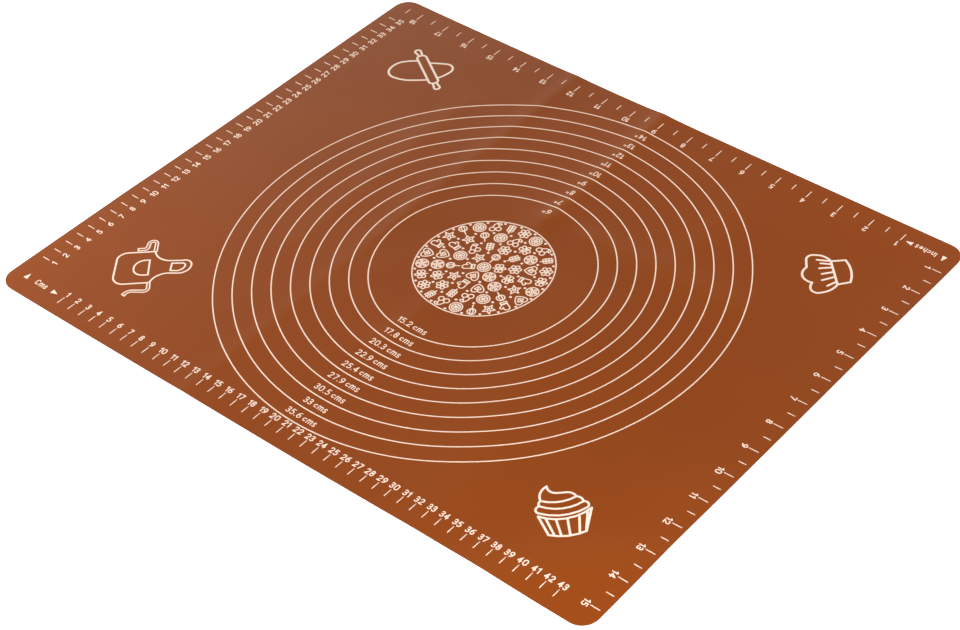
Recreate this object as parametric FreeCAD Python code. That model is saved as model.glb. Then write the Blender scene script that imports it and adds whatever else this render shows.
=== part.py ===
import FreeCAD
import Part
import math
import os

# A silicone baking mat with a printed pastry guide, in millimetres.
# X runs along the front edge, Y from front to back and Z up. The origin is under the middle of the sheet.

# Sheet: a plain silicone blank, cut with rounded corners.
MAT_LENGTH = 500.0
MAT_WIDTH = 400.0
SHEET_THICKNESS = 0.8
CORNER_RADIUS = 12.0

# Print: a white film on the sheet's top, laid a little to the right of the sheet's middle.
INK_FILM = 0.1
PRINT_SHIFT = 1.6
CENTIMETRE = 10.0
INCH = 25.4

# Scales along the four edges. An inset runs from the edge to the ticks, a gap from the ticks to the figures.
TICK_LINE = 0.75
CM_TICK = 6.3
INCH_TICK = 7.2
HALF_INCH_TICK = 5.8
EDGE_INSET = 8.7
SIDE_INSET = 4.7
FIGURE_HEIGHT = 4.8
FIGURE_STROKE = 0.9
FRONT_FIGURE_GAP = 0.9
LEFT_FIGURE_GAP = 2.4
BACK_FIGURE_GAP = 1.6
RIGHT_FIGURE_GAP = 0.7
FRONT_FIRST_GAP = 6.4
BACK_FIRST_GAP = 3.8
LEFT_START = 33.9
RIGHT_START = 27.7
FRONT_END_ROOM = 28.0
LEFT_END_ROOM = 22.0
BACK_END_ROOM = 6.0
RIGHT_END_ROOM = 8.0

# Legends: the unit's name between two pointers, in the corner where a unit's two scales start.
LEGEND_START = 9.5
LEGEND_BASE = 12.6
LEGEND_LENGTH = 31.2
LEGEND_HEIGHT = 4.7
LEGEND_STROKE = 0.8
POINTER_LENGTH = 5.0
POINTER_WIDTH = 3.8

# Guide circles, a whole inch apart, laid a little forward of the sheet's middle. The outer side of each line is
# the stated size. Each side of a line is a row of short arcs, which rise this far above their chords.
SMALLEST_RING_INCHES = 6
RING_LINE = 0.95
RING_CLEARANCE = 0.5
RINGS_FORWARD = 0.85
ARC_RISE = 0.1
RING_LABEL_HEIGHT = 5.0
RING_LABEL_STROKE = 0.8
CM_LABEL_RISE = 3.4
INCH_LABEL_RISE = 3.7
INCH_LABEL_END = 5.4

# Corner pictures: size, pen, middle measured from the two nearest edges of the print, and turn in degrees.
PIN_SIZE = 51.0
PIN_STROKE = 1.8
PIN_FROM_LEFT = 72.7
PIN_FROM_BACK = 58.5
PIN_TURN = -32.0
APRON_SIZE = 48.0
APRON_STROKE = 1.35
APRON_TIE_STROKE = 1.1
APRON_FROM_LEFT = 68.6
APRON_FROM_FRONT = 65.4
APRON_TURN = -45.0
HAT_SIZE = 35.0
HAT_STROKE = 1.7
HAT_FROM_RIGHT = 65.6
HAT_FROM_BACK = 73.0
HAT_TURN = 135.0
CUPCAKE_SIZE = 40.0
CUPCAKE_STROKE = 1.6
CUPCAKE_FROM_RIGHT = 69.9
CUPCAKE_FROM_FRONT = 64.7
CUPCAKE_TURN = 45.0

# Medallion: a rim, a motif in the middle and rings of motifs round it, with dots in the gaps.
MEDALLION_RADIUS = 48.0
MEDALLION_RIM = 1.0
MOTIF_STROKE = 1.0
MOTIF_GAP = 0.3
MOTIF_RINGS = 4
MOTIFS_PER_RING_STEP = 6
MOTIF_STRIDE = 3
DOT_RADIUS = 0.95

FULL_TURN = 360.0


def via(x, y):
    """A point that an arc passes through on its way to the next point of a stroke."""
    return (x, y, "arc")


def loop(x, y, radius):
    """A closed round stroke."""
    return [(x - radius, y), via(x, y + radius), (x + radius, y), via(x, y - radius), (x - radius, y)]


def turned(stroke, degrees):
    """The same stroke, turned about the middle of its drawing."""
    c = math.cos(math.radians(degrees))
    s = math.sin(math.radians(degrees))
    return [(x * c - y * s, x * s + y * c, *mark) for x, y, *mark in stroke]


def fan(stroke, count, start=0.0):
    """Copies of a stroke, turned evenly round the middle of its drawing."""
    return [turned(stroke, start + FULL_TURN * k / count) for k in range(count)]


# Figures and letters as pen strokes, in shares of the height between the middles of the top and bottom strokes.
GLYPH_SHARES = {
    "0": [[(0, .3), via(.3, 0), (.6, .3), (.6, .7), via(.3, 1), (0, .7), (0, .3)]],
    "1": [[(.05, .78), (.32, 1), (.32, 0)]],
    "2": [[(.01, .79), via(.42, .96), (.51, .56), (0, 0), (.58, 0)]],
    "3": [[(.06, .88), via(.51, .76), (.27, .52), (.16, .52)], [(.27, .52), via(.53, .26), (.04, .13)]],
    "4": [[(.42, 0), (.42, 1), (0, .3)], [(0, .3), (.62, .3)]],
    "5": [[(.52, 1), (.1, 1), (.06, .56), via(.55, .36), (.02, .08)]],
    "6": [loop(.3, .3, .29), [(.5, 1), via(.1, .7), (.01, .3)]],
    "7": [[(0, 1), (.56, 1), (.2, 0)]],
    "8": [loop(.3, .77, .23), loop(.3, .27, .27)],
    "9": [loop(.3, .7, .29), [(.1, 0), via(.5, .3), (.59, .7)]],
    ".": [[(0, 0), (.03, 0)]],
    '"': [[(0, 1), (0, .7)], [(.27, 1), (.27, .7)]],
    "C": [[(.55, .84), via(.3, 1), (0, .64), (0, .36), via(.3, 0), (.55, .16)]],
    "I": [[(0, 0), (0, 1)]],
    "c": [[(.46, .57), via(0, .35), (.46, .13)]],
    "e": [[(.03, .34), (.5, .34)], [(.5, .34), via(.01, .4), (.44, .11)]],
    "h": [[(0, 0), (0, 1)], [(0, .46), via(.22, .69), (.44, .46), (.44, 0)]],
    "m": [
        [(0, 0), (0, .7)],
        [(0, .48), via(.2, .7), (.4, .48), (.4, 0)],
        [(.4, .48), via(.6, .7), (.8, .48), (.8, 0)],
    ],
    "n": [[(0, 0), (0, .7)], [(0, .46), via(.22, .69), (.44, .46), (.44, 0)]],
    "s": [[(.38, .62), via(.02, .52), (.2, .35), via(.38, .18), (.02, .08)]],
}
LETTER_GAP_SHARE = 0.36
SPACE_SHARE = 0.3
TOUCH_SHARE = 1e-6

# Corner pictures as pen strokes, in shares of the picture's size, upright about its middle.
PIN_SHARES = [
    [(-.31, .075), (.28, .075), via(.315, .063), (.335, .03), (.335, -.015), via(.315, -.048), (.28, -.06),
     (-.31, -.06), via(-.345, -.048), (-.365, -.015), (-.365, .03), via(-.345, .063), (-.31, .075)],
    [(.335, .035), (.44, .05), via(.49, .01), (.44, -.03), (.335, -.015)],
    [(-.365, .03), (-.48, .04), via(-.52, -.005), (-.48, -.045), (-.365, -.015)],
    [(-.155, .075), via(-.098, .182), (-.04, .287), via(.06, .355), (.163, .304), via(.213, .195), (.238, .075)],
    [(-.263, -.06), via(-.307, -.175), (-.326, -.294), via(-.296, -.41), (-.22, -.503), via(-.106, -.535),
     (.002, -.481), via(.086, -.394), (.144, -.288), via(.187, -.175), (.227, -.06)],
]
APRON_SHARES = [
    [(.285, .08), via(.16, .18), (.125, .34), (.145, .46), via(.1, .6), (-.02, .65), via(-.09, .62),
     (-.115, .53), (-.135, .36), via(-.2, .22), (-.36, .145), (-.385, -.22), via(-.36, -.32), (-.28, -.38), (.1, -.42),
     via(.22, -.375), (.265, -.27), (.285, .08)],
    [(-.075, .38), (.075, .36), (.09, .44), via(.06, .53), (-.02, .565), via(-.05, .545), (-.06, .51),
     (-.075, .38)],
    [(-.19, .075), (.12, .055), (.11, -.03), via(.05, -.125), (-.04, -.145), via(-.15, -.1), (-.195, .0),
     (-.19, .075)],
]
APRON_TIE_SHARES = [
    [(-.36, .165), (-.535, .181), via(-.607, .108), (-.535, .034), (-.48, .02), via(-.46, .006), (-.455, -.02),
     (-.46, -.095), (-.412, -.095)],
    [(-.365, .125), (-.532, .143), via(-.569, .108), (-.53, .073), (-.46, .058), via(-.423, .035), (-.41, -.02),
     (-.412, -.095)],
    [(.285, .088), (.385, .088), via(.455, .058), (.474, -.005), (.445, -.16), via(.455, -.197), (.515, -.25),
     (.475, -.285)],
    [(.285, .052), (.385, .048), via(.421, .035), (.43, -.005), (.404, -.16), via(.415, -.21), (.475, -.285)],
]
HAT_SHARES = [
    [(-.33, -.18), (.34, -.18), (.325, -.46), via(-.02, -.505), (-.305, -.43), (-.33, -.18)],
    [(-.33, -.18), via(-.455, -.04), (-.505, .15), via(-.455, .3), (-.33, .33), via(-.26, .31), (-.2, .275)],
    [(-.2, .275), via(.03, .42), (.24, .3)],
    [(.24, .3), via(.36, .285), (.46, .27), via(.555, .2), (.56, .08), via(.48, -.09), (.34, -.18)],
    [(-.25, -.18), (-.335, .01)],
    [(-.11, -.18), (-.165, .08)],
    [(.03, -.18), (.01, .05)],
    [(.16, -.18), (.175, .07)],
    [(.25, -.18), (.31, .02)],
    [(.34, -.18), (.42, .07)],
]
CUPCAKE_SHARES = [
    [(-.405, -.09), (-.285, -.485), via(0, -.54), (.27, -.485), (.395, -.03)],
    [(-.405, -.09), via(0, -.19), (.395, -.03)],
    [(-.3, -.14), (-.2, -.51)],
    [(-.15, -.18), (-.1, -.53)],
    [(.02, -.19), (.03, -.54)],
    [(.2, -.155), (.17, -.52)],
    [(.33, -.085), (.265, -.49)],
    [(-.39, -.03), via(-.02, -.115), (.335, -.01)],
    [(-.39, -.03), via(-.43, .05), (-.365, .11)],
    [(-.365, .11), via(-.375, .165), (-.34, .215)],
    [(-.34, .215), via(-.33, .38), (-.225, .5)],
    [(-.225, .5), via(-.19, .395), (-.1, .345), (.03, .338), via(.14, .31), (.195, .235)],
    [(.195, .235), via(.265, .19), (.29, .12)],
    [(.29, .12), via(.36, .06), (.335, -.01)],
    [(-.365, .11), via(-.05, .02), (.29, .12)],
    [(-.34, .215), via(-.06, .16), (.195, .235)],
]

# Medallion motifs as pen strokes, in shares of a motif's room. Their tops point away from the middle.
DOT_PLACE_SHARE = 0.4
GRAIN_SHARES = [(0, .02), via(.2, .06), (.24, .24), via(.06, .2), (0, .02)]
PETAL_SHARES = [(0, .13), via(-.14, .29), (0, .47), via(.14, .29), (0, .13)]
MOTIF_SHARES = {
    "lemon slice": [loop(0, 0, .47), loop(0, 0, .31)] + fan([(-.31, 0), (.31, 0)], 6)[:3],
    "blossom": fan(PETAL_SHARES, 6) + [loop(0, 0, .1)],
    "heart": [
        [(0, .2), via(-.26, .42), (-.46, .14), via(-.3, -.19), (0, -.46), via(.3, -.19), (.46, .14),
         via(.26, .42), (0, .2)],
        [(0, -.02), via(-.12, .15), (-.24, .07), (0, -.2), (.24, .07), via(.12, .15), (0, -.02)],
    ],
    "whisk": [
        [(0, -.48), (0, -.1)],
        [(0, -.1), via(-.3, .24), (0, .48), via(.3, .24), (0, -.1)],
        [(0, -.1), via(-.12, .2), (0, .48)],
        [(0, -.1), via(.12, .2), (0, .48)],
    ],
    "wheat ear": [[(0, -.48), (0, .46)]] + [
        [(side * x, y + rise, *mark) for x, y, *mark in GRAIN_SHARES]
        for rise in (-.3, -.08, .14)
        for side in (-1, 1)
    ],
    "cookie": [loop(0, 0, .46)] + [
        loop(x, y, .085) for x, y in ((0, 0), (0, .27), (.25, .09), (.16, -.21), (-.16, -.21), (-.25, .09))
    ],
    "star": [
        [turned([(0, .48 if k % 2 == 0 else .22)], 36.0 * k)[0] for k in range(11)],
        loop(0, 0, .1),
    ],
    "cherries": [
        loop(-.22, -.24, .21),
        loop(.24, -.2, .2),
        [(-.22, -.03), via(-.12, .26), (.08, .46)],
        [(.24, 0), via(.2, .24), (.08, .46)],
        [(.08, .46), via(.28, .47), (.42, .3), via(.22, .28), (.08, .46)],
    ],
    "leaf sprig": [[(0, -.48), (0, .2)], [(0, .1), via(-.11, .29), (0, .47), via(.11, .29), (0, .1)]] + [
        [(side * x, y + rise, *mark) for x, y, *mark in turned(PETAL_SHARES, 62.0)]
        for rise in (-.32, -.04)
        for side in (-1, 1)
    ],
    "mitten": [
        [(-.22, -.2), (-.26, .22), via(-.04, .46), (.18, .22), (.17, .1), (.24, .18), via(.4, .16), (.34, -.02),
         (.18, -.2), (-.22, -.2)],
        [(-.25, -.27), (.23, -.27), (.23, -.45), (-.25, -.45), (-.25, -.27)],
    ],
}

UP = FreeCAD.Vector(0, 0, 1)


def along(points, scale):
    """The line that the pen's middle follows, as straight lines and arcs."""
    spots = [FreeCAD.Vector(point[0] * scale, point[1] * scale, 0) for point in points]
    edges = []
    k = 0
    while k < len(spots) - 1:
        if len(points[k + 1]) == 3:
            edges.append(Part.Arc(spots[k], spots[k + 1], spots[k + 2]).toShape())
            k += 2
        else:
            edges.append(Part.makeLine(spots[k], spots[k + 1]))
            k += 1
    return edges


def film(face):
    """An ink film on a flat outline."""
    solid = face.extrude(UP * INK_FILM)
    return solid.reversed() if solid.Volume < 0 else solid


def band(edges, width):
    """The outline of a pen stroke with round ends along a chain of edges, or along one straight line."""
    if len(edges) > 1 or isinstance(edges[0].Curve, Part.Circle):
        return Part.Wire(edges).makeOffset2D(width / 2)
    start = edges[0].firstVertex().Point
    end = edges[0].lastVertex().Point
    ahead = (end - start).normalize() * (width / 2)
    aside = UP.cross(ahead)
    return Part.Wire([
        Part.makeLine(start - aside, end - aside),
        Part.Arc(end - aside, end + ahead, end + aside).toShape(),
        Part.makeLine(end + aside, start + aside),
        Part.Arc(start + aside, start - ahead, start - aside).toShape(),
    ])


def stroke(points, scale, width):
    """The films of one pen stroke of even width, with round ends. A closed stroke is drawn in two halves."""
    edges = along(points, scale)
    if math.dist(points[0][:2], points[-1][:2]) < TOUCH_SHARE:
        half = len(edges) // 2
        lines = [edges[:half], edges[half:]]
    else:
        lines = [edges]
    return [film(Part.Face(band(line, width))) for line in lines]


def drawing(strokes, scale, width):
    """The films of several strokes, joined where they meet."""
    films = [piece for points in strokes for piece in stroke(points, scale, width)]
    if len(films) == 1:
        return films[0]
    return films[0].multiFuse(films[1:]).removeSplitter()


def at(x, y, turn=0.0):
    """A place on the sheet's plane."""
    return FreeCAD.Placement(FreeCAD.Vector(x, y, 0), FreeCAD.Rotation(UP, turn))


def put(shape, *places):
    """A copy of a shape, moved through a chain of places, the outermost first."""
    where = places[0]
    for place in places[1:]:
        where = where.multiply(place)
    copy = shape.copy()
    copy.Placement = where.multiply(shape.Placement)
    return copy


glyphs = {}


def glyph(letter, height, pen):
    """One figure or letter, made once for each size of print."""
    key = (letter, height, pen)
    if key not in glyphs:
        glyphs[key] = drawing(GLYPH_SHARES[letter], height - pen, pen)
    return glyphs[key]


def words(text, height, pen, place, anchor_share=0.5):
    """A line of print. Its anchor, a share of its length, stands on the place."""
    body = height - pen
    gap = LETTER_GAP_SHARE * body
    starts = []
    x = 0.0
    for letter in text:
        if letter == " ":
            x += SPACE_SHARE * body
            continue
        shape = glyph(letter, height, pen)
        starts.append((letter, x - shape.BoundBox.XMin))
        x += shape.BoundBox.XLength - pen + gap
    length = x - gap + pen
    shift = -anchor_share * length
    return [put(glyph(letter, height, pen), place, at(start + shift, pen / 2)) for letter, start in starts]


def tick(length):
    """One tick with its outer end at the origin, pointing to +Y."""
    return Part.makeBox(TICK_LINE, length, INK_FILM, FreeCAD.Vector(-TICK_LINE / 2, 0, 0))


def scale(corner, across, first, room, unit, halves, inset, gap):
    """The ticks and figures of one edge.

    The corner is where the scale starts. Across is true for an edge that runs along the corner's X, with the
    figures' tops inward, and false for a side along its Y, with the figures' tops outward."""
    length = MAT_LENGTH if across else MAT_WIDTH
    step = unit / 2 if halves else unit
    long_tick = INCH_TICK if halves else CM_TICK
    ticks = []
    figures = []
    for k in range(int((length - first - room) // step) + 1):
        s = first + k * step
        whole = not halves or k % 2 == 0
        mark = tick(long_tick if whole else HALF_INCH_TICK)
        ticks.append(put(mark, corner, at(s, inset) if across else at(inset, s, -90.0)))
        if whole:
            base = inset + long_tick + gap
            spot = at(s, base) if across else at(base + FIGURE_HEIGHT, s, 90.0)
            number = str(k // 2 + 1 if halves else k + 1)
            figures += words(number, FIGURE_HEIGHT, FIGURE_STROKE, corner.multiply(spot))
    return ticks, figures


def legend(corner, name):
    """A pointer along the side, the unit's name and a pointer along the edge."""
    half = POINTER_WIDTH / 2
    triangle = Part.makePolygon([
        FreeCAD.Vector(-half, 0, 0),
        FreeCAD.Vector(half, 0, 0),
        FreeCAD.Vector(0, POINTER_LENGTH, 0),
        FreeCAD.Vector(-half, 0, 0),
    ])
    pointer = film(Part.Face(triangle))
    middle = LEGEND_START + LEGEND_LENGTH / 2
    end = LEGEND_START + LEGEND_LENGTH - POINTER_LENGTH
    name_place = corner.multiply(at(middle, LEGEND_BASE))
    return [
        put(pointer, corner, at(LEGEND_START + half, LEGEND_BASE)),
        *words(name, LEGEND_HEIGHT, LEGEND_STROKE, name_place),
        put(pointer, corner, at(end, LEGEND_BASE + half, -90.0)),
    ]


def round_outline(radius, count):
    """A round outline as a row of equal arcs."""
    half_arc = math.pi / count
    spots = [
        FreeCAD.Vector(radius * math.cos(half_arc * k), radius * math.sin(half_arc * k), 0)
        for k in range(2 * count + 1)
    ]
    return Part.Wire([Part.Arc(*spots[2 * k:2 * k + 3]).toShape() for k in range(count)])


def ring(radius, line):
    """A round line whose outer side has the given radius."""
    count = math.ceil(math.pi / math.acos(1 - ARC_RISE / radius))
    sides = [round_outline(radius, count), round_outline(radius - line, count)]
    return film(Part.makeFace(sides, "Part::FaceMakerBullseye"))


def picture(shares, size, pen, place):
    """One corner picture."""
    return put(drawing(shares, size, pen), place)


def plain_number(value):
    """A length as it is printed, to a tenth and without a needless nought."""
    return f"{round(value, 1):g}"


nodes = {}

blank = Part.makeBox(MAT_LENGTH, MAT_WIDTH, SHEET_THICKNESS, FreeCAD.Vector(-MAT_LENGTH / 2, -MAT_WIDTH / 2, 0))
upright = [e for e in blank.Edges if abs(e.tangentAt(e.FirstParameter).z) > 0.5]
nodes["mat_sheet"] = [blank.makeFillet(CORNER_RADIUS, upright)]

# The print's frame is on the sheet's top. Each unit's two scales start from one corner of it.
printed = FreeCAD.Placement(FreeCAD.Vector(PRINT_SHIFT, 0, SHEET_THICKNESS), FreeCAD.Rotation())
right = MAT_LENGTH / 2
back = MAT_WIDTH / 2
cm_corner = printed.multiply(at(-right, -back))
inch_corner = printed.multiply(at(right, back, 180.0))

legend_end = LEGEND_START + LEGEND_LENGTH
scales = {
    "front_cm": (cm_corner, True, legend_end + FRONT_FIRST_GAP, FRONT_END_ROOM, CENTIMETRE, False, EDGE_INSET,
                 FRONT_FIGURE_GAP),
    "left_cm": (cm_corner, False, LEFT_START, LEFT_END_ROOM, CENTIMETRE, False, SIDE_INSET, LEFT_FIGURE_GAP),
    "back_inch": (inch_corner, True, legend_end + BACK_FIRST_GAP, BACK_END_ROOM, INCH, True, EDGE_INSET,
                  BACK_FIGURE_GAP),
    "right_inch": (inch_corner, False, RIGHT_START, RIGHT_END_ROOM, INCH, True, SIDE_INSET, RIGHT_FIGURE_GAP),
}
for name, values in scales.items():
    nodes[f"{name}_ticks"], nodes[f"{name}_figures"] = scale(*values)
nodes["cm_legend"] = legend(cm_corner, "Cms")
nodes["inch_legend"] = legend(inch_corner, "Inches")

# The corner pictures, each with its top towards the middle of the mat.
pin_place = printed.multiply(at(PIN_FROM_LEFT - right, back - PIN_FROM_BACK, PIN_TURN))
apron_place = printed.multiply(at(APRON_FROM_LEFT - right, APRON_FROM_FRONT - back, APRON_TURN))
hat_place = printed.multiply(at(right - HAT_FROM_RIGHT, back - HAT_FROM_BACK, HAT_TURN))
cupcake_place = printed.multiply(at(right - CUPCAKE_FROM_RIGHT, CUPCAKE_FROM_FRONT - back, CUPCAKE_TURN))
apron = picture(APRON_SHARES, APRON_SIZE, APRON_STROKE, apron_place)
ties = picture(APRON_TIE_SHARES, APRON_SIZE, APRON_TIE_STROKE, apron_place)
nodes["rolling_pin_picture"] = [picture(PIN_SHARES, PIN_SIZE, PIN_STROKE, pin_place)]
nodes["apron_picture"] = [apron.fuse(ties).removeSplitter()]
nodes["chef_hat_picture"] = [picture(HAT_SHARES, HAT_SIZE, HAT_STROKE, hat_place)]
nodes["cupcake_picture"] = [picture(CUPCAKE_SHARES, CUPCAKE_SIZE, CUPCAKE_STROKE, cupcake_place)]

# The guide circles go out as far as the scales and the corner pictures leave room.
rings_place = printed.multiply(at(0, -RINGS_FORWARD))
back_room = back - EDGE_INSET - INCH_TICK - BACK_FIGURE_GAP - FIGURE_HEIGHT + RINGS_FORWARD
front_room = back - EDGE_INSET - CM_TICK - FRONT_FIGURE_GAP - FIGURE_HEIGHT - RINGS_FORWARD
picture_reach = min(
    (place.Base - rings_place.Base).Length - size / 2
    for place, size in (
        (pin_place, PIN_SIZE),
        (apron_place, APRON_SIZE),
        (hat_place, HAT_SIZE),
        (cupcake_place, CUPCAKE_SIZE),
    )
)
ring_reach = min(back_room, front_room, picture_reach) - RING_CLEARANCE
cm_labels = []
inch_labels = []
for inches in range(SMALLEST_RING_INCHES, int(2 * ring_reach // INCH) + 1):
    radius = inches * INCH / 2
    nodes[f"guide_ring_{inches:02d}_inch"] = [put(ring(radius, RING_LINE), rings_place)]
    cm_text = plain_number(2 * radius / CENTIMETRE) + " cms"
    cm_place = rings_place.multiply(at(0, RING_LINE + CM_LABEL_RISE - radius))
    cm_labels += words(cm_text, RING_LABEL_HEIGHT, RING_LABEL_STROKE, cm_place)
    inch_place = rings_place.multiply(at(-INCH_LABEL_END, radius - RING_LINE - INCH_LABEL_RISE, 180.0))
    inch_labels += words(f'{inches}"', RING_LABEL_HEIGHT, RING_LABEL_STROKE, inch_place, 1.0)
nodes["ring_labels_cm"] = cm_labels
nodes["ring_labels_inch"] = inch_labels

# The medallion: motifs of one size, each in its own round room, on rings about the middle.
inner_radius = MEDALLION_RADIUS - MEDALLION_RIM
room = (inner_radius - MOTIF_GAP / 2) / (MOTIF_RINGS + 0.5)
motif_size = room - MOTIF_GAP - MOTIF_STROKE
motifs = [drawing(shares, motif_size, MOTIF_STROKE) for shares in MOTIF_SHARES.values()]
dot = Part.makeCylinder(DOT_RADIUS, INK_FILM)
medallion = [put(ring(MEDALLION_RADIUS, MEDALLION_RIM), printed), put(motifs[0], printed)]
serial = 0
for step in range(1, MOTIF_RINGS + 1):
    count = MOTIFS_PER_RING_STEP * step
    for k in range(count):
        angle = FULL_TURN * k / count
        serial += MOTIF_STRIDE
        motif = motifs[serial % len(motifs)]
        medallion.append(put(motif, printed, at(0, 0, angle), at(0, step * room)))
        between = at(0, 0, angle + FULL_TURN / count / 2)
        medallion.append(put(dot, printed, between, at(0, (step + DOT_PLACE_SHARE) * room)))
nodes["centre_medallion"] = medallion

os.makedirs("parts", exist_ok=True)
for name, pieces in nodes.items():
    solids = [solid for piece in pieces for solid in piece.Solids]
    shape = solids[0] if len(solids) == 1 else Part.makeCompound(solids)
    shape.exportStep(f"parts/{name}.step")
    print(f"{name}: {len(solids)} solids, {shape.Volume:.2f} mm3, valid {shape.isValid()}")
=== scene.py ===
import math

import bpy
import numpy as np
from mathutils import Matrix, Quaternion, Vector


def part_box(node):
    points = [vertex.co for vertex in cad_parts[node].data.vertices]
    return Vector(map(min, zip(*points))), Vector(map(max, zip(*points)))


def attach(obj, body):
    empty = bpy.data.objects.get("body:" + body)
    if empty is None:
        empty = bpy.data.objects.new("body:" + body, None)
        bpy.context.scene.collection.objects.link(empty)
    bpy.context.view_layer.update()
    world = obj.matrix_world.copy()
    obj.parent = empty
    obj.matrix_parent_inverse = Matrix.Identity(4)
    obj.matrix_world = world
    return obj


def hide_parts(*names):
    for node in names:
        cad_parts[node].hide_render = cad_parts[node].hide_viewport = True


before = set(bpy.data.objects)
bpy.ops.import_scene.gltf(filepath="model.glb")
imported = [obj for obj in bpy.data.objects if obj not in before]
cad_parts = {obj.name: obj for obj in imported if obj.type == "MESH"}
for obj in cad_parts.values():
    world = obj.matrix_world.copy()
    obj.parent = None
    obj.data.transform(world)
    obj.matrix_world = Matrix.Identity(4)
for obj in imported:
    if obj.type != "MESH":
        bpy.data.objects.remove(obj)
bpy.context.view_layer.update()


# The sheet is one blank of brown silicone rubber, rolled out thin, cured and die-cut with round corners.
# It lies loose on the table, where the folds that it was packed in still stand up as low, soft ridges.
MM = 0.001
CORNER_RADIUS = 12 * MM
GRID_STEP = 2.5 * MM
CORNER_ROWS = 8
EDGE_HOLD = 0.4 * MM
CUT_EDGE_ROUNDING = 0.12 * MM
CUT_EDGE_STEPS = 2

# Each fold in millimetres from the front left corner, x + iy: its two ends, the ridge's rise and its spread.
FOLDS = (
    (247 + 405j, 254 + 265j, 0.7, 4),
    (247 + 405j, 254 + 265j, 0.5, 14),
    (254 + 265j, 243 + 108j, 0.5, 6),
    (168 + 405j, 176 - 5j, 0.25, 4),
    (168 + 405j, 172 + 180j, 0.2, 4),
    (168 + 405j, 176 - 5j, 0.2, 12),
    (178 + 219j, 121 + 274j, 0.5, 10),
    (122 + 330j, 132 + 150j, 0.3, 6),
    (322 + 190j, 372 - 5j, 1.0, 20),
    (200 + 150j, 232 + 138j, 0.45, 25),
    (290 + 266j, 405 + 271j, 0.7, 7),
    (348 + 275j, 350 + 370j, 0.3, 6),
    (300 + 200j, 360 + 190j, 0.5, 25),
    (415 - 5j, 505 + 80j, 1.1, 14),
    (506 + 110j, 506 + 300j, 1.4, 25),
    (260 + 404j, 480 + 404j, 0.4, 14),
    (-5 + 290j, -5 + 405j, 0.5, 25),
    (-5 - 5j, -5 + 110j, 0.9, 25),
    (60 - 5j, 200 - 5j, 0.3, 25),
    (330 - 5j, 400 - 5j, 0.6, 30),
)

sheet_low, sheet_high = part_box("mat_sheet")
sheet_corner = complex(sheet_low.x, sheet_low.y)
sheet_thickness = sheet_high.z - sheet_low.z
half_length = (sheet_high.x - sheet_low.x) / 2
half_width = (sheet_high.y - sheet_low.y) / 2


def fold_ridges(places):
    """The ridges of all the folds at places x + iy, in metres.

    One ridge is rise * e^(1 - sqrt(1 + (d / spread)^2)), where d is the distance to the nearest point of the
    fold's straight line. Its crest is round, and its sides run out flat."""
    spots = (places - sheet_corner) / MM
    ridges = []
    for start, end, rise, spread in FOLDS:
        line = end - start
        share = np.clip(((spots - start) * line.conjugate()).real / abs(line) ** 2, 0, 1)
        away = np.abs(spots - start - share * line) / spread
        ridges.append(rise * MM * np.exp(1 - np.sqrt(1 + away ** 2)))
    return ridges


def sheet_top(places):
    """Height of the sheet's upper side: its thickness and the sum of the fold ridges under it."""
    return sheet_thickness + sum(fold_ridges(places))


def sheet_plan():
    """Rows of places x + iy that cover the sheet's outline, each row from left to right.

    Rows stand evenly between the corners and at equal turns of the corner's quarter circle beyond. A row
    there reaches to half_length - radius + sqrt(radius^2 - depth^2), with depth its way into the corner.
    The last but one place of a row stands close to its end and holds the edge's shape."""
    straight = half_width - CORNER_RADIUS
    turns = np.linspace(0, math.pi / 2, CORNER_ROWS + 1)[1:]
    ends = straight + CORNER_RADIUS * np.sin(turns)
    body = np.linspace(-straight, straight, round(2 * straight / GRID_STEP) + 1)
    rows = np.concatenate([-ends[::-1], body, ends])
    depth = np.clip(np.abs(rows) - straight, 0, CORNER_RADIUS)
    reach = half_length - CORNER_RADIUS + np.sqrt(CORNER_RADIUS ** 2 - depth ** 2)
    hold = 1 - EDGE_HOLD / half_length
    inner = np.linspace(-hold, hold, round(2 * half_length / GRID_STEP) + 1)
    columns = np.concatenate([[-1], inner, [1]])
    return reach[:, None] * columns + 1j * rows[:, None]


def new_piece(name, vertices, faces):
    """A smooth mesh object from vertex places and arrays of faces, one array for each number of corners."""
    mesh = bpy.data.meshes.new(name)
    corners = np.concatenate([group.ravel() for group in faces])
    sizes = np.concatenate([np.full(len(group), group.shape[1]) for group in faces])
    mesh.vertices.add(len(vertices))
    mesh.vertices.foreach_set("co", vertices.ravel())
    mesh.loops.add(len(corners))
    mesh.loops.foreach_set("vertex_index", corners)
    mesh.polygons.add(len(sizes))
    mesh.polygons.foreach_set("loop_start", np.cumsum(sizes) - sizes)
    mesh.update(calc_edges=True)
    mesh.shade_smooth()
    piece = bpy.data.objects.new(name, mesh)
    bpy.context.scene.collection.objects.link(piece)
    return piece


def srgb(red, green, blue):
    """A colour as it is written for a screen, 0 to 255, turned into the light that it stands for."""
    shares = np.array([red, green, blue]) / 255
    light = np.where(shares <= 0.04045, shares / 12.92, ((shares + 0.055) / 1.055) ** 2.4)
    return (*light.tolist(), 1.0)


def set_sockets(tree, node, values):
    """Values for a shader node's sockets: a number or colour is set, and another node's socket is linked."""
    for key, value in values.items():
        if isinstance(value, bpy.types.NodeSocket):
            tree.links.new(value, node.inputs[key])
        else:
            node.inputs[key].default_value = value


def add_node(tree, kind, values=None, **settings):
    """One new shader node with its settings and its sockets' values."""
    node = tree.nodes.new(kind)
    for key, value in settings.items():
        setattr(node, key, value)
    set_sockets(tree, node, values or {})
    return node


def new_finish(name):
    """A new material, its node tree and its surface shader."""
    material = bpy.data.materials.new(name)
    material.use_nodes = True
    return material, material.node_tree, material.node_tree.nodes["Principled BSDF"]


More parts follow.
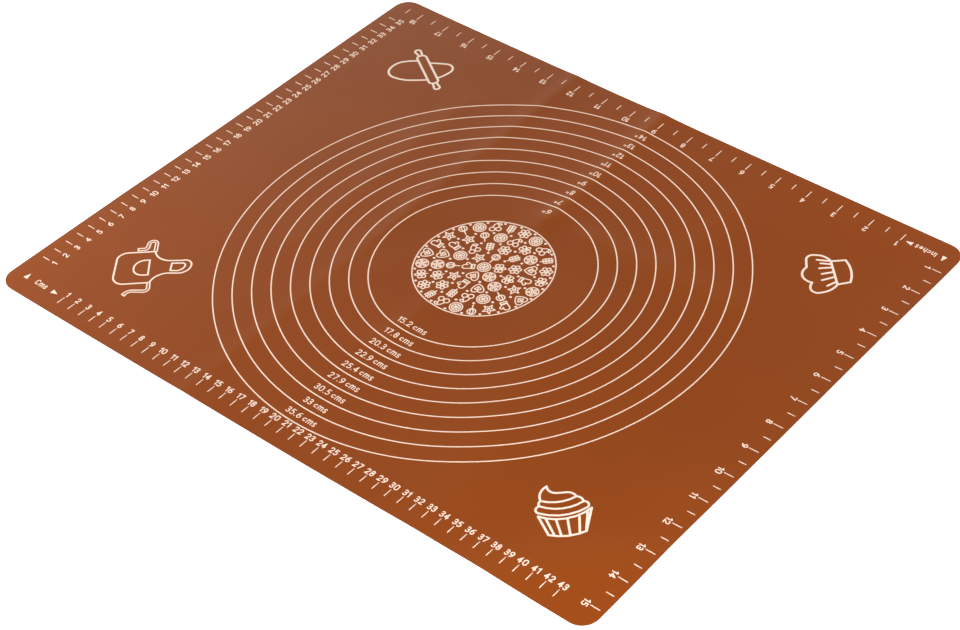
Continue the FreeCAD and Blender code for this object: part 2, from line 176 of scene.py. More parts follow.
def speckle(tree, scale, detail):
    """A noise pattern, 0 to 1, on the object's own coordinates."""
    place = add_node(tree, "ShaderNodeTexCoord").outputs["Object"]
    values = {"Vector": place, "Scale": scale, "Detail": detail}
    return add_node(tree, "ShaderNodeTexNoise", values).outputs[0]


def carried(tree, name):
    """The share that the mesh carries at each of its points under this name."""
    return add_node(tree, "ShaderNodeAttribute", attribute_name=name).outputs["Fac"]


# The Mix node's sockets for colours, by number: its sockets for plain numbers have the same names.
MIX_SHARE, MIX_FIRST, MIX_SECOND, MIX_COLOUR = 0, 6, 7, 2


def blend(tree, share, first, second):
    """The colour that lies at a share of the way from the first colour to the second."""
    values = {MIX_SHARE: share, MIX_FIRST: first, MIX_SECOND: second}
    return add_node(tree, "ShaderNodeMix", values, data_type="RGBA").outputs[MIX_COLOUR]


def ranged(tree, share, least, most):
    """A number that follows a share, from least at 0 to most at 1."""
    return add_node(tree, "ShaderNodeMapRange", {"Value": share, "To Min": least, "To Max": most}).outputs[0]


def bump(tree, height, strength, depth, under=None):
    """The normal of a surface that a pattern of heights roughens, over another bump where one is given."""
    values = {"Height": height, "Strength": strength, "Distance": depth}
    if under is not None:
        values["Normal"] = under
    return add_node(tree, "ShaderNodeBump", values).outputs[0]


# The third brown is the paler colour of the fold crests: partly crease wear, partly a painted sheen along the
# ridges.
BROWN = srgb(146, 67.5, 14)
BROWN_DEEP = srgb(138, 63, 12)
BROWN_WORN_AND_SHEEN = srgb(155, 80, 28)
CLOUD_SCALE = 14
CLOUD_DETAIL = 3
PEEL_SCALE = 260
PEEL_STRENGTH = 0.12
PEEL_DEPTH = 0.1 * MM
GRAIN_SCALE = 1100
GRAIN_STRENGTH = 0.25
GRAIN_DEPTH = 0.05 * MM
FINE_DETAIL = 2
SATIN_LEAST = 0.32
SATIN_MOST = 0.44
SILICONE_IOR = 1.41
SILICONE_SPECULAR = 0.111


def silicone_rubber():
    """Satin silicone: slow clouds between two browns, paler on the fold crests as crease wear and painted
    sheen, with a fine mould grain as bump.
    """
    material, tree, shader = new_finish("brown silicone")
    peel = speckle(tree, PEEL_SCALE, FINE_DETAIL)
    grain = speckle(tree, GRAIN_SCALE, FINE_DETAIL)
    browns = blend(tree, speckle(tree, CLOUD_SCALE, CLOUD_DETAIL), BROWN, BROWN_DEEP)
    waves = bump(tree, peel, PEEL_STRENGTH, PEEL_DEPTH)
    finish = {
        # Paler brown on the fold crests: crease wear and painted sheen.
        "Base Color": blend(tree, carried(tree, "fold_wear_and_sheen"), browns, BROWN_WORN_AND_SHEEN),
        "Roughness": ranged(tree, peel, SATIN_LEAST, SATIN_MOST),
        "Normal": bump(tree, grain, GRAIN_STRENGTH, GRAIN_DEPTH, under=waves),
        "IOR": SILICONE_IOR,
        "Specular IOR Level": SILICONE_SPECULAR,
    }
    set_sockets(tree, shader, finish)
    return material


plan = sheet_plan()
row_starts = np.arange(plan.size).reshape(plan.shape)
sheet_faces = np.stack(
    [row_starts[:-1, :-1], row_starts[:-1, 1:], row_starts[1:, 1:], row_starts[1:, :-1]], axis=-1
)
sheet_places = np.stack([plan.real, plan.imag, sheet_top(plan)], axis=-1)
silicone_sheet = new_piece("silicone_sheet", sheet_places.reshape(-1, 3), [sheet_faces.reshape(-1, 4)])

# The fold crests are painted paler, more so the sharper the ridge: partly crease wear, partly a painted sheen
# that stands in for light on the ridges.
FOLD_WEAR_AND_SHEEN = 0.45
wear_and_sheen = silicone_sheet.data.attributes.new("fold_wear_and_sheen", "FLOAT", "POINT")
sharpest = np.max([ridge / (spread * MM) for ridge, (*_, spread) in zip(fold_ridges(plan), FOLDS)], axis=0)
wear_and_sheen.data.foreach_set("value", (FOLD_WEAR_AND_SHEEN * np.clip(sharpest / sharpest.max(), 0, 1)).ravel())

wall = silicone_sheet.modifiers.new("sheet thickness", "SOLIDIFY")
wall.thickness = sheet_thickness
wall.offset = -1
edge = silicone_sheet.modifiers.new("cut edge", "BEVEL")
edge.width = CUT_EDGE_ROUNDING
edge.segments = CUT_EDGE_STEPS
edge.limit_method = "ANGLE"
silicone_sheet.data.materials.append(silicone_rubber())
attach(silicone_sheet, "root")
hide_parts("mat_sheet")


# The edge ticks are short bars of white silicone ink, screen printed on the sheet and cured into it.
# Centimetres run along the front and left edges, inches with half-inch ticks along the back and right.
CENTIMETRE = 10 * MM
INCH = 25.4 * MM
TICK_LINE = 0.75 * MM
HALF_INCH_TICK = 5.8 * MM
BAR_STATIONS = 3

# Each scale's name, the way its numbers run, the way into the sheet, its unit and its ticks for each unit.
SCALES = (
    ("front_cm", 1 + 0j, 1j, CENTIMETRE, 1),
    ("left_cm", 1j, 1 + 0j, CENTIMETRE, 1),
    ("back_inch", -1 + 0j, -1j, INCH, 2),
    ("right_inch", -1j, -1 + 0j, INCH, 2),
)

# The film's section from right to left: where its points lie across the line, as shares of the half width
# and of the run-out at its sides, then their shares of the film's height and of its cover.
FILM_ACROSS = np.array([-1, -1, -1, 0, 1, 1, 1])
FILM_INSET = np.array([0, 0, 1, 0, -1, 0, 0])
FILM_HEIGHT = np.array([-0.6, 0.35, 0.85, 1, 0.85, 0.35, -0.6])
FILM_COVER = np.array([0, 0.1, 1, 1, 1, 0.1, 0])
RUN_OUT = 0.22 * MM
film_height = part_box("front_cm_ticks")[1].z - sheet_high.z

INK = srgb(255, 238, 227)
INK_GREY = srgb(253, 230, 214)
INK_THIN = srgb(252, 166, 90)
MOTTLE_SCALE = 420
MOTTLE_DETAIL = 3
INK_GRAIN_STRENGTH = 0.2
INK_GRAIN_DEPTH = 0.03 * MM
MATT_LEAST = 0.5
MATT_MOST = 0.65
INK_SPECULAR = 0.15


def white_ink():
    """Matt ink film: warm white with faint mottling, thinner and browner where it runs out at its sides."""
    material, tree, shader = new_finish("white ink")
    mottle = speckle(tree, MOTTLE_SCALE, MOTTLE_DETAIL)
    grain = speckle(tree, GRAIN_SCALE, FINE_DETAIL)
    whites = blend(tree, mottle, INK, INK_GREY)
    finish = {
        "Base Color": blend(tree, carried(tree, "ink_cover"), INK_THIN, whites),
        "Roughness": ranged(tree, mottle, MATT_LEAST, MATT_MOST),
        "Normal": bump(tree, grain, INK_GRAIN_STRENGTH, INK_GRAIN_DEPTH),
        "Specular IOR Level": INK_SPECULAR,
    }
    set_sockets(tree, shader, finish)
    return material


ink = white_ink()


def lay_ink(node, lines):
    """One printed piece on the sheet that stands for a node of the frame.

    A line is its stations x + iy, their half widths and whether it closes on itself. The film's section is
    carried along it, square to the line, and follows the sheet's height. Each line is a closed skin: its
    section's last edge lies in the sheet, and an open line has a flat face at either end."""
    plans, quads, ends, first = [], [], [], 0
    span = len(FILM_ACROSS)
    for stations, halves, closed in lines:
        ahead = np.roll(stations, -1) - np.roll(stations, 1) if closed else np.gradient(stations)
        left = 1j * ahead / np.abs(ahead)
        run_outs = np.minimum(RUN_OUT, halves / 2)
        offsets = halves[:, None] * FILM_ACROSS + run_outs[:, None] * FILM_INSET
        plans.append(stations[:, None] + left[:, None] * offsets)
        ring = first + np.arange(len(stations) * span).reshape(-1, span)
        here = ring if closed else ring[:-1]
        there = np.roll(ring, -1, axis=0) if closed else ring[1:]
        around = np.stack([here, there, np.roll(there, -1, axis=1), np.roll(here, -1, axis=1)], axis=-1)
        quads.append(around.reshape(-1, 4))
        if not closed:
            ends.append(np.stack([ring[0], ring[-1, ::-1]]))
        first += ring.size
    places = np.concatenate(plans)
    heights = sheet_top(places) + film_height * FILM_HEIGHT
    vertices = np.stack([places.real, places.imag, heights], axis=-1).reshape(-1, 3)
    faces = [np.concatenate(quads)]
    if ends:
        faces.append(np.concatenate(ends))
    piece = new_piece(f"{node}_ink", vertices, faces)
    cover = piece.data.attributes.new("ink_cover", "FLOAT", "POINT")
    cover.data.foreach_set("value", np.tile(FILM_COVER, len(places)))
    piece.data.materials.append(ink)
    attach(piece, "root")
    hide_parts(node)


def span_along(node, direction):
    """Where a node's box starts and ends along one of the four directions of the sheet's edges."""
    low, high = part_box(node)
    ends = [(complex(corner.x, corner.y) * direction.conjugate()).real for corner in (low, high)]
    return min(ends), max(ends)


def scale_places(name, along, step):
    """Where the ticks of one scale stand along its edge."""
    start, end = span_along(f"{name}_ticks", along)
    return np.linspace(start + TICK_LINE / 2, end - TICK_LINE / 2, round((end - start) / step) + 1)


def bar(start, end, line):
    """A straight line with square ends."""
    return np.linspace(start, end, BAR_STATIONS), np.full(BAR_STATIONS, line / 2), False


for name, along, inward, unit, parts in SCALES:
    outer, inner = span_along(f"{name}_ticks", inward)
    ticks = []
    for count, place in enumerate(scale_places(name, along, unit / parts)):
        reach = outer + HALF_INCH_TICK if count % parts else inner
        ticks.append(bar(along * place + inward * outer, along * place + inward * reach, TICK_LINE))
    lay_ink(f"{name}_ticks", ticks)


# The edge figures number the whole ticks, in the same white ink, printed with the ticks from one screen.
# They stand upright along the front and back edges and lie along the two sides.
FIGURE_STROKE = 0.9 * MM


def via(x, y):
    """A point that an arc passes through on its way to the next point of a stroke."""
    return (x, y, "arc")


def loop(x, y, radius):
    """A closed round stroke."""
    return [(x - radius, y), via(x, y + radius), (x + radius, y), via(x, y - radius), (x - radius, y)]


# Figures and letters as pen strokes, in shares of the height between the middles of the top and bottom
# strokes.
GLYPH_SHARES = {
    "0": [[(0, .3), via(.3, 0), (.6, .3), (.6, .7), via(.3, 1), (0, .7), (0, .3)]],
    "1": [[(.05, .78), (.32, 1), (.32, 0)]],
    "2": [[(.01, .79), via(.42, .96), (.51, .56), (0, 0), (.58, 0)]],
    "3": [[(.06, .88), via(.51, .76), (.27, .52), (.16, .52)], [(.27, .52), via(.53, .26), (.04, .13)]],
    "4": [[(.42, 0), (.42, 1), (0, .3)], [(0, .3), (.62, .3)]],
    "5": [[(.52, 1), (.1, 1), (.06, .56), via(.55, .36), (.02, .08)]],
    "6": [loop(.3, .3, .29), [(.5, 1), via(.1, .7), (.01, .3)]],
    "7": [[(0, 1), (.56, 1), (.2, 0)]],
    "8": [loop(.3, .77, .23), loop(.3, .27, .27)],
    "9": [loop(.3, .7, .29), [(.1, 0), via(.5, .3), (.59, .7)]],
    ".": [[(0, 0), (.03, 0)]],
    '"': [[(0, 1), (0, .7)], [(.27, 1), (.27, .7)]],
    "C": [[(.55, .84), via(.3, 1), (0, .64), (0, .36), via(.3, 0), (.55, .16)]],
    "I": [[(0, 0), (0, 1)]],
    "c": [[(.46, .57), via(0, .35), (.46, .13)]],
    "e": [[(.03, .34), (.5, .34)], [(.5, .34), via(.01, .4), (.44, .11)]],
    "h": [[(0, 0), (0, 1)], [(0, .46), via(.22, .69), (.44, .46), (.44, 0)]],
    "m": [
        [(0, 0), (0, .7)],
        [(0, .48), via(.2, .7), (.4, .48), (.4, 0)],
        [(.4, .48), via(.6, .7), (.8, .48), (.8, 0)],
    ],
    "n": [[(0, 0), (0, .7)], [(0, .46), via(.22, .69), (.44, .46), (.44, 0)]],
    "s": [[(.38, .62), via(.02, .52), (.2, .35), via(.38, .18), (.02, .08)]],
}
LETTER_GAP_SHARE = 0.36
SPACE_SHARE = 0.3
ARC_STEP = math.radians(12)
SHARP_TURN = math.radians(35)
END_TURNS = np.radians([20, 50])
CLOSED_SHARE = 0.1


def arc_places(start, middle, end):
    """Places on the circle through three points, from the first over the second to the third.

    With w = (end - start) / (middle - start), the circle's centre is start + (middle - start) times
    (w - |w|^2) / (2i Im w), and the places are the start turned about it by equal steps."""
    w = (end - start) / (middle - start)
    centre = start + (middle - start) * (w - abs(w) ** 2) / (2j * w.imag)
    sweep = np.angle((end - centre) / (start - centre)) % (2 * math.pi)
    if w.imag < 0:
        sweep -= 2 * math.pi
    steps = max(2, math.ceil(abs(sweep) / ARC_STEP))
    return centre + (start - centre) * np.exp(1j * np.linspace(0, sweep, steps + 1))


def smooth_runs(stroke):
    """A pen stroke as arrays of places x + iy, parted where the line turns sharply.

    The round ends of the two runs that meet there make the corner round."""
    spots = [complex(*point[:2]) for point in stroke]
    parts, k = [], 0
    while k < len(spots) - 1:
        if len(stroke[k + 1]) == 3:
            parts.append(arc_places(*spots[k:k + 3]))
            k += 2
        else:
            parts.append(np.array(spots[k:k + 2]))
            k += 1
    runs = [parts[0]]
    for part in parts[1:]:
        bend = np.angle((part[1] - part[0]) / (runs[-1][-1] - runs[-1][-2]))
        if abs(bend) < SHARP_TURN:
            runs[-1] = np.concatenate([runs[-1], part[1:]])
        else:
            runs.append(part)
    return runs


def drawing_runs(strokes):
    """The runs of all the strokes of one drawing."""
    return [run for stroke in strokes for run in smooth_runs(stroke)]


def penned(run, pen):
    """The stations of a run drawn with a round pen: half circles beyond its ends, unless it closes smoothly.

    At an end, stations stand at radius * cos(turn) beyond it with half widths of radius * sin(turn)."""
    radius = pen / 2
    first, last = run[1] - run[0], run[-1] - run[-2]
    meets = abs(run[0] - run[-1]) < CLOSED_SHARE * radius
    if meets and abs(np.angle(first / last)) < SHARP_TURN:
        return run[:-1], np.full(len(run) - 1, radius), True
    beyond, halves = radius * np.cos(END_TURNS), radius * np.sin(END_TURNS)
    stations = [run[0] - first / abs(first) * beyond, run, run[-1] + last / abs(last) * beyond[::-1]]
    widths = [halves, np.full(len(run), radius), halves[::-1]]
    return np.concatenate(stations), np.concatenate(widths), False


GLYPH_RUNS = {letter: drawing_runs(strokes) for letter, strokes in GLYPH_SHARES.items()}


def words(text, height, pen, place, turn, anchor=0.5):
    """The lines of a row of print. Its anchor, a share of its length, stands on the place."""
    body = height - pen
    gap = LETTER_GAP_SHARE * body
    runs, x = [], 0
    for letter in text:
        if letter == " ":
            x += SPACE_SHARE * body
            continue
        drawn = [body * run for run in GLYPH_RUNS[letter]]
        left = min(run.real.min() for run in drawn)
        runs += [run - left + x for run in drawn]
        x += max(run.real.max() for run in drawn) - left + gap
    shift = pen / 2 * (1 + 1j) - anchor * (x - gap + pen)
    return [penned(place + turn * (run + shift), pen) for run in runs]


for name, along, _, unit, parts in SCALES:
    tops = 1j * along
    foot, head = span_along(f"{name}_figures", tops)
    figures = []
    for number, place in enumerate(scale_places(name, along, unit / parts)[::parts], 1):
        figures += words(str(number), head - foot, FIGURE_STROKE, tops * foot + along * place, along)
    lay_ink(f"{name}_figures", figures)


# The two legends name the unit of the scales that start in their corner, between two pointers.
# They are printed in the same ink, with the pointers as solid triangles.
LEGEND_HEIGHT = 4.7 * MM
LEGEND_STROKE = 0.8 * MM
POINTER_LENGTH = 5.0 * MM
POINTER_WIDTH = 3.8 * MM
POINTER_TIP_SHARE = 0.1
POINTER_STATIONS = 5


def pointer(base, direction):
    """A triangle from the middle of its base: half widths that shrink evenly towards the tip."""
    shares = np.linspace(0, 1, POINTER_STATIONS)
    halves = POINTER_WIDTH / 2 * (1 - (1 - POINTER_TIP_SHARE) * shares)
    return base + direction * POINTER_LENGTH * shares, halves, False


for name, along, unit_name in (("cm_legend", 1 + 0j, "Cms"), ("inch_legend", -1 + 0j, "Inches")):
    start, end = span_along(name, along)
    foot = 1j * along * span_along(name, 1j * along)[0]
    side_base = foot + along * (start + POINTER_WIDTH / 2)
    edge_base = foot + along * (end - POINTER_LENGTH) + 1j * along * POINTER_WIDTH / 2
    legend = [pointer(side_base, 1j * along), pointer(edge_base, along)]
    legend += words(unit_name, LEGEND_HEIGHT, LEGEND_STROKE, foot + along * (start + end) / 2, along)
    lay_ink(name, legend)


# The guide rings show the size of a rolled-out round of dough, one for each whole inch across.
# Each is one unbroken printed line, with its size in centimetres at its front and in inches at its back.
RING_LINE = 0.95 * MM
RING_STATIONS = 360
RING_LABEL_HEIGHT = 5 * MM
RING_LABEL_STROKE = 0.8 * MM
CM_LABEL_RISE = 3.4 * MM
INCH_LABEL_RISE = 3.7 * MM
INCH_LABEL_END = 5.4 * MM


def middle_of(node):
    """The middle of a node's box, x + iy."""
    low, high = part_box(node)
    return complex(low.x + high.x, low.y + high.y) / 2


def round_line(middle, radius, line, count):
    """A closed round line whose outer side has the given radius."""
    turns = np.linspace(0, 2 * math.pi, count, endpoint=False)
    return middle + (radius - line / 2) * np.exp(1j * turns), np.full(count, line / 2), True


cm_labels, inch_labels = [], []
for name in sorted(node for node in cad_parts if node.startswith("guide_ring_")):
    middle = middle_of(name)
    low, high = span_along(name, 1 + 0j)
    radius = (high - low) / 2
    lay_ink(name, [round_line(middle, radius, RING_LINE, RING_STATIONS)])
    cm_text = f"{round(2 * radius / CENTIMETRE, 1):g} cms"
    cm_place = middle + 1j * (RING_LINE + CM_LABEL_RISE - radius)
    cm_labels += words(cm_text, RING_LABEL_HEIGHT, RING_LABEL_STROKE, cm_place, 1)
    inch_text = f'{round(2 * radius / INCH)}"'
    inch_place = middle - INCH_LABEL_END + 1j * (radius - RING_LINE - INCH_LABEL_RISE)
    inch_labels += words(inch_text, RING_LABEL_HEIGHT, RING_LABEL_STROKE, inch_place, -1, 1)
lay_ink("ring_labels_cm", cm_labels)
lay_ink("ring_labels_inch", inch_labels)


# The corner pictures are line drawings of kitchen things, one in each corner with its top towards the middle.
# They are drawn with a broad round pen in the same ink: a rolling pin, an apron, a chef's hat and a cupcake.
PIN_SIZE = 51 * MM
PIN_TURN = -32
PIN_STROKE = 1.8 * MM
PIN_SHARES = [
    [(-.31, .075), (.28, .075), via(.315, .063), (.335, .03), (.335, -.015), via(.315, -.048), (.28, -.06),
     (-.31, -.06), via(-.345, -.048), (-.365, -.015), (-.365, .03), via(-.345, .063), (-.31, .075)],
    [(.335, .035), (.44, .05), via(.49, .01), (.44, -.03), (.335, -.015)],
    [(-.365, .03), (-.48, .04), via(-.52, -.005), (-.48, -.045), (-.365, -.015)],
    [(-.155, .075), via(-.098, .182), (-.04, .287), via(.06, .355), (.163, .304), via(.213, .195),
     (.238, .075)],
    [(-.263, -.06), via(-.307, -.175), (-.326, -.294), via(-.296, -.41), (-.22, -.503), via(-.106, -.535),
     (.002, -.481), via(.086, -.394), (.144, -.288), via(.187, -.175), (.227, -.06)],
]
APRON_SIZE = 48 * MM
APRON_TURN = -45
APRON_STROKE = 1.35 * MM
APRON_SHARES = [
    [(.285, .08), via(.16, .18), (.125, .34), (.145, .46), via(.1, .6), (-.02, .65), via(-.09, .62),
     (-.115, .53), (-.135, .36), via(-.2, .22), (-.36, .145), (-.385, -.22), via(-.36, -.32), (-.28, -.38),
     (.1, -.42), via(.22, -.375), (.265, -.27), (.285, .08)],
    [(-.075, .38), (.075, .36), (.09, .44), via(.06, .53), (-.02, .565), via(-.05, .545), (-.06, .51),
     (-.075, .38)],
    [(-.19, .075), (.12, .055), (.11, -.03), via(.05, -.125), (-.04, -.145), via(-.15, -.1), (-.195, .0),
     (-.19, .075)],
]
APRON_TIE_STROKE = 1.1 * MM
APRON_TIE_SHARES = [
    [(-.36, .165), (-.535, .181), via(-.607, .108), (-.535, .034), (-.48, .02), via(-.46, .006),
     (-.455, -.02), (-.46, -.095), (-.412, -.095)],
    [(-.365, .125), (-.532, .143), via(-.569, .108), (-.53, .073), (-.46, .058), via(-.423, .035),
     (-.41, -.02), (-.412, -.095)],
    [(.285, .088), (.385, .088), via(.455, .058), (.474, -.005), (.445, -.16), via(.455, -.197), (.515, -.25),
     (.475, -.285)],
    [(.285, .052), (.385, .048), via(.421, .035), (.43, -.005), (.404, -.16), via(.415, -.21), (.475, -.285)],
]
HAT_SIZE = 35 * MM
HAT_TURN = 135
HAT_STROKE = 1.7 * MM
HAT_SHARES = [
    [(-.33, -.18), (.34, -.18), (.325, -.46), via(-.02, -.505), (-.305, -.43), (-.33, -.18)],
    [(-.33, -.18), via(-.455, -.04), (-.505, .15), via(-.455, .3), (-.33, .33), via(-.26, .31), (-.2, .275)],
    [(-.2, .275), via(.03, .42), (.24, .3)],
    [(.24, .3), via(.36, .285), (.46, .27), via(.555, .2), (.56, .08), via(.48, -.09), (.34, -.18)],
    [(-.25, -.18), (-.335, .01)],
    [(-.11, -.18), (-.165, .08)],
    [(.03, -.18), (.01, .05)],
    [(.16, -.18), (.175, .07)],
    [(.25, -.18), (.31, .02)],
    [(.34, -.18), (.42, .07)],
]
CUPCAKE_SIZE = 40 * MM
CUPCAKE_TURN = 45
CUPCAKE_STROKE = 1.6 * MM
CUPCAKE_SHARES = [
    [(-.405, -.09), (-.285, -.485), via(0, -.54), (.27, -.485), (.395, -.03)],
    [(-.405, -.09), via(0, -.19), (.395, -.03)],
    [(-.3, -.14), (-.2, -.51)],
    [(-.15, -.18), (-.1, -.53)],
    [(.02, -.19), (.03, -.54)],
    [(.2, -.155), (.17, -.52)],
    [(.33, -.085), (.265, -.49)],
    [(-.39, -.03), via(-.02, -.115), (.335, -.01)],
    [(-.39, -.03), via(-.43, .05), (-.365, .11)],
    [(-.365, .11), via(-.375, .165), (-.34, .215)],
    [(-.34, .215), via(-.33, .38), (-.225, .5)],
    [(-.225, .5), via(-.19, .395), (-.1, .345), (.03, .338), via(.14, .31), (.195, .235)],
    [(.195, .235), via(.265, .19), (.29, .12)],
    [(.29, .12), via(.36, .06), (.335, -.01)],
    [(-.365, .11), via(-.05, .02), (.29, .12)],
    [(-.34, .215), via(-.06, .16), (.195, .235)],
]

# Each picture's size and turn in degrees, then its drawings with the pen of each.
APRON_LAYERS = ((APRON_SHARES, APRON_STROKE), (APRON_TIE_SHARES, APRON_TIE_STROKE))
PICTURES = (
    ("rolling_pin_picture", PIN_SIZE, PIN_TURN, ((PIN_SHARES, PIN_STROKE),)),
    ("apron_picture", APRON_SIZE, APRON_TURN, APRON_LAYERS),
    ("chef_hat_picture", HAT_SIZE, HAT_TURN, ((HAT_SHARES, HAT_STROKE),)),
    ("cupcake_picture", CUPCAKE_SIZE, CUPCAKE_TURN, ((CUPCAKE_SHARES, CUPCAKE_STROKE),)),
)


def turned_by(degrees):
    """The number that turns a place x + iy about the origin."""
    return complex(math.cos(math.radians(degrees)), math.sin(math.radians(degrees)))


for name, size, turn, layers in PICTURES:
    drawn = [(size * turned_by(turn) * run, pen) for shares, pen in layers for run in drawing_runs(shares)]
    low = complex(*(min(axis(run).min() - pen / 2 for run, pen in drawn) for axis in (np.real, np.imag)))
    high = complex(*(max(axis(run).max() + pen / 2 for run, pen in drawn) for axis in (np.real, np.imag)))
    move = middle_of(name) - (low + high) / 2
    lay_ink(name, [penned(run + move, pen) for run, pen in drawn])


# The medallion marks the middle of the mat: a rim full of small line drawings of baking things.
# It comes from the same screen as the rest, with the motifs in rings, their tops outward, and dots between.
MEDALLION_RIM = 1.0 * MM
RIM_STATIONS = 144
MOTIF_STROKE = 1.0 * MM
MOTIF_GAP = 0.3 * MM
MOTIF_RINGS = 4
MOTIFS_PER_RING_STEP = 6
MOTIF_STRIDE = 3
DOT_RADIUS = 0.95 * MM
DOT_PLACE_SHARE = 0.4
DOT_STROKE_SHARE = 0.1
STAR_POINTS = 5


def fan(stroke, count):
    """Copies of a stroke, turned evenly round the middle of its drawing."""
    return [turned(stroke, 360 * k / count) for k in range(count)]


def turned(stroke, degrees):
    """The same stroke, turned about the middle of its drawing."""
    turn = turned_by(degrees)
    spots = [complex(x, y) * turn for x, y, *_ in stroke]
    return [(spot.real, spot.imag, *mark) for spot, (_, _, *mark) in zip(spots, stroke)]


GRAIN_SHARES = [(0, .02), via(.2, .06), (.24, .24), via(.06, .2), (0, .02)]
PETAL_SHARES = [(0, .13), via(-.14, .29), (0, .47), via(.14, .29), (0, .13)]
MOTIF_SHARES = {
    "lemon slice": [loop(0, 0, .47), loop(0, 0, .31)] + fan([(-.31, 0), (.31, 0)], 6)[:3],
    "blossom": fan(PETAL_SHARES, 6) + [loop(0, 0, .1)],
    "heart": [
        [(0, .2), via(-.26, .42), (-.46, .14), via(-.3, -.19), (0, -.46), via(.3, -.19), (.46, .14),
         via(.26, .42), (0, .2)],
        [(0, -.02), via(-.12, .15), (-.24, .07), (0, -.2), (.24, .07), via(.12, .15), (0, -.02)],
    ],
    "whisk": [
        [(0, -.48), (0, -.1)],
        [(0, -.1), via(-.3, .24), (0, .48), via(.3, .24), (0, -.1)],
        [(0, -.1), via(-.12, .2), (0, .48)],
        [(0, -.1), via(.12, .2), (0, .48)],
    ],
    "wheat ear": [[(0, -.48), (0, .46)]] + [
        [(side * x, y + rise, *mark) for x, y, *mark in GRAIN_SHARES]
        for rise in (-.3, -.08, .14)
        for side in (-1, 1)
    ],
    "cookie": [loop(0, 0, .46)] + [
        loop(x, y, .085) for x, y in ((0, 0), (0, .27), (.25, .09), (.16, -.21), (-.16, -.21), (-.25, .09))
    ],
    "star": [
        [turned([(0, .22 if k % 2 else .48)], 180 / STAR_POINTS * k)[0] for k in range(2 * STAR_POINTS + 1)],
        loop(0, 0, .1),
    ],
    "cherries": [
        loop(-.22, -.24, .21),
        loop(.24, -.2, .2),
        [(-.22, -.03), via(-.12, .26), (.08, .46)],
        [(.24, 0), via(.2, .24), (.08, .46)],
        [(.08, .46), via(.28, .47), (.42, .3), via(.22, .28), (.08, .46)],
    ],
    "leaf sprig": [[(0, -.48), (0, .2)], [(0, .1), via(-.11, .29), (0, .47), via(.11, .29), (0, .1)]] + [
        [(side * x, y + rise, *mark) for x, y, *mark in turned(PETAL_SHARES, 62)]
        for rise in (-.32, -.04)
        for side in (-1, 1)
    ],
    "mitten": [
        [(-.22, -.2), (-.26, .22), via(-.04, .46), (.18, .22), (.17, .1), (.24, .18), via(.4, .16),
         (.34, -.02), (.18, -.2), (-.22, -.2)],
        [(-.25, -.27), (.23, -.27), (.23, -.45), (-.25, -.45), (-.25, -.27)],
    ],
}

middle = middle_of("centre_medallion")
low, high = span_along("centre_medallion", 1 + 0j)
medallion_radius = (high - low) / 2
room = (medallion_radius - MEDALLION_RIM - MOTIF_GAP / 2) / (MOTIF_RINGS + 0.5)
motif_size = room - MOTIF_GAP - MOTIF_STROKE
motifs = [[motif_size * run for run in drawing_runs(shares)] for shares in MOTIF_SHARES.values()]
medallion = [round_line(middle, medallion_radius, MEDALLION_RIM, RIM_STATIONS)]
medallion += [penned(middle + run, MOTIF_STROKE) for run in motifs[0]]
serial = 0
for step in range(1, MOTIF_RINGS + 1):
    count = MOTIFS_PER_RING_STEP * step
    for k in range(count):
        serial += MOTIF_STRIDE
        turn = turned_by(360 * k / count)
        seat = middle + 1j * turn * step * room
        medallion += [penned(seat + turn * run, MOTIF_STROKE) for run in motifs[serial % len(motifs)]]
        between = turned_by(360 * (k + 0.5) / count)
        dot = middle + 1j * between * (step + DOT_PLACE_SHARE) * room
        ends = dot + DOT_STROKE_SHARE * DOT_RADIUS * np.array([-1, 1])
        medallion.append(penned(ends, 2 * DOT_RADIUS))
lay_ink("centre_medallion", medallion)


# The studio: a broad white floor under the sheet and a white surround, lit by four soft boxes.
# The camera looks down on the sheet from beyond its front right corner.
WHITE = srgb(255, 255, 255)
FLOOR_WHITE = srgb(250, 250, 250)
FLOOR_ROUGHNESS = 0.9
FLOOR_HALF = 4.0
FLOOR_DROP = 0.05 * MM
FLOOR_GLOW = 0.75
SURROUND_LIGHT = 0.18
SURROUND_SEEN = 1.0


def seen_directly(tree):
    """1 for a ray from the camera or from a mirror or glass, and 0 for light that falls on a surface."""
    path = add_node(tree, "ShaderNodeLightPath")
    total = path.outputs["Is Camera Ray"]
    for ray in ("Is Glossy Ray", "Is Transmission Ray"):
        values = {0: total, 1: path.outputs[ray]}
        total = add_node(tree, "ShaderNodeMath", values, operation="MAXIMUM").outputs[0]
    return total


FLOOR_CORNERS = np.array([[-1, -1, 0], [1, -1, 0], [1, 1, 0], [-1, 1, 0]])
floor_places = FLOOR_HALF * FLOOR_CORNERS - [0, 0, FLOOR_DROP]
floor = new_piece("studio_floor", floor_places, [np.array([[0, 1, 2, 3]])])
paint, paint_tree, paint_shader = new_finish("white floor")
floor_finish = {
    "Base Color": FLOOR_WHITE,
    "Roughness": FLOOR_ROUGHNESS,
    "Specular IOR Level": 0.0,
    "Emission Color": WHITE,
    "Emission Strength": ranged(paint_tree, seen_directly(paint_tree), 0.0, FLOOR_GLOW),
}
set_sockets(paint_tree, paint_shader, floor_finish)
floor.data.materials.append(paint)

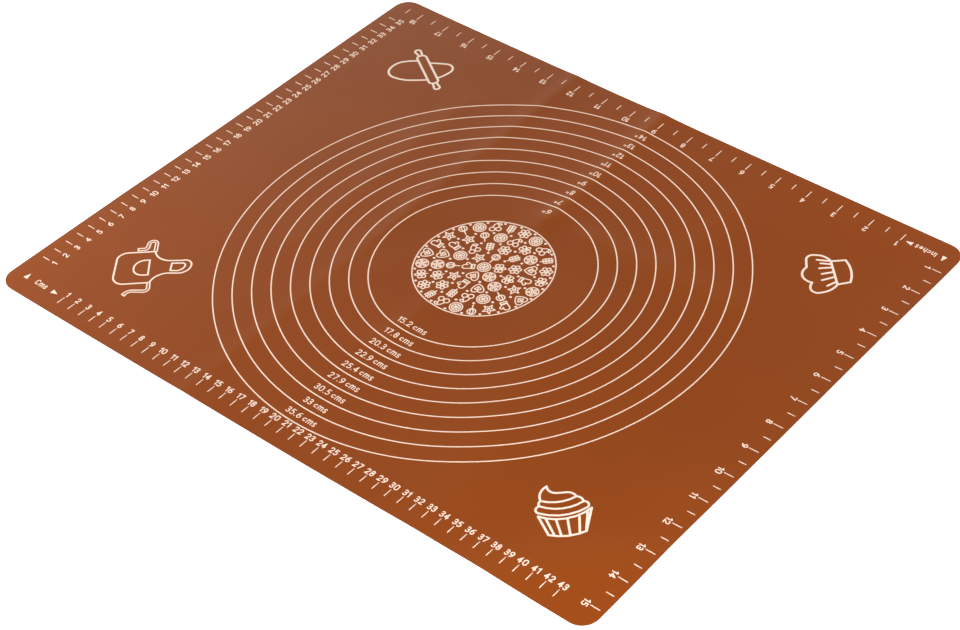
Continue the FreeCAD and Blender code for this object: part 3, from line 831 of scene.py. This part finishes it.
world = bpy.data.worlds.new("white surround")
world.use_nodes = True
bpy.context.scene.world = world
surround = world.node_tree
level = ranged(surround, seen_directly(surround), SURROUND_LIGHT, SURROUND_SEEN)
set_sockets(surround, surround.nodes["Background"], {"Color": WHITE, "Strength": level})


def soft_box(name, place, aim, width, height, watts, tint):
    """A lamp with a rectangular face that looks at a point."""
    lamp = bpy.data.lights.new(name, "AREA")
    lamp.color = tint
    lamp.shape = "RECTANGLE"
    lamp.size = width
    lamp.size_y = height
    lamp.energy = watts
    box = bpy.data.objects.new(name, lamp)
    box.location = place
    box.rotation_euler = (Vector(aim) - Vector(place)).to_track_quat("-Z", "Y").to_euler()
    box.visible_camera = False
    bpy.context.scene.collection.objects.link(box)


# Each soft box: its name, place, aim, width and height in metres, its watts and its tint.
SOFT_BOXES = (
    ("front_left_box", (-0.433, -0.3, 0.3), (-0.15, 0, 0), 0.4, 0.2, 1.53, (1, 1, 1)),
    ("front_right_box", (0.403, -0.433, 0.3), (0.2, 0, 0), 0.4, 0.2, 2.6, (1, 1, 1)),
    ("back_right_box", (0.269, 0.45, 0.35), (0.12, 0.1, 0), 0.3, 0.3, 1.32, (1, 1, 1)),
    ("back_left_box", (-1.642, 1.651, 1.0), (-1.6, 1.65, 0), 2.4, 0.2, 36, (0.94, 1, 0.82)),
)
for lamp_values in SOFT_BOXES:
    soft_box(*lamp_values)

CAMERA_PLACE = Vector((0.80538, -0.81447, 0.99564))
CAMERA_AIM = Vector((0.11749, 0.02905, 0))
CAMERA_ROLL = math.radians(-2.028)
SENSOR_WIDTH = 36
LENS_LENGTH = 86.026
LENS_SHIFT = -0.1771
lens = bpy.data.cameras.new("camera")
lens.sensor_width = SENSOR_WIDTH
lens.lens = LENS_LENGTH
lens.shift_x = LENS_SHIFT
camera = bpy.data.objects.new("camera", lens)
camera.location = CAMERA_PLACE
look = (CAMERA_AIM - CAMERA_PLACE).to_track_quat("-Z", "Y") @ Quaternion((0, 0, 1), CAMERA_ROLL)
camera.rotation_euler = look.to_euler()
bpy.context.scene.collection.objects.link(camera)
bpy.context.scene.camera = camera
bpy.context.scene.view_settings.view_transform = "Standard"
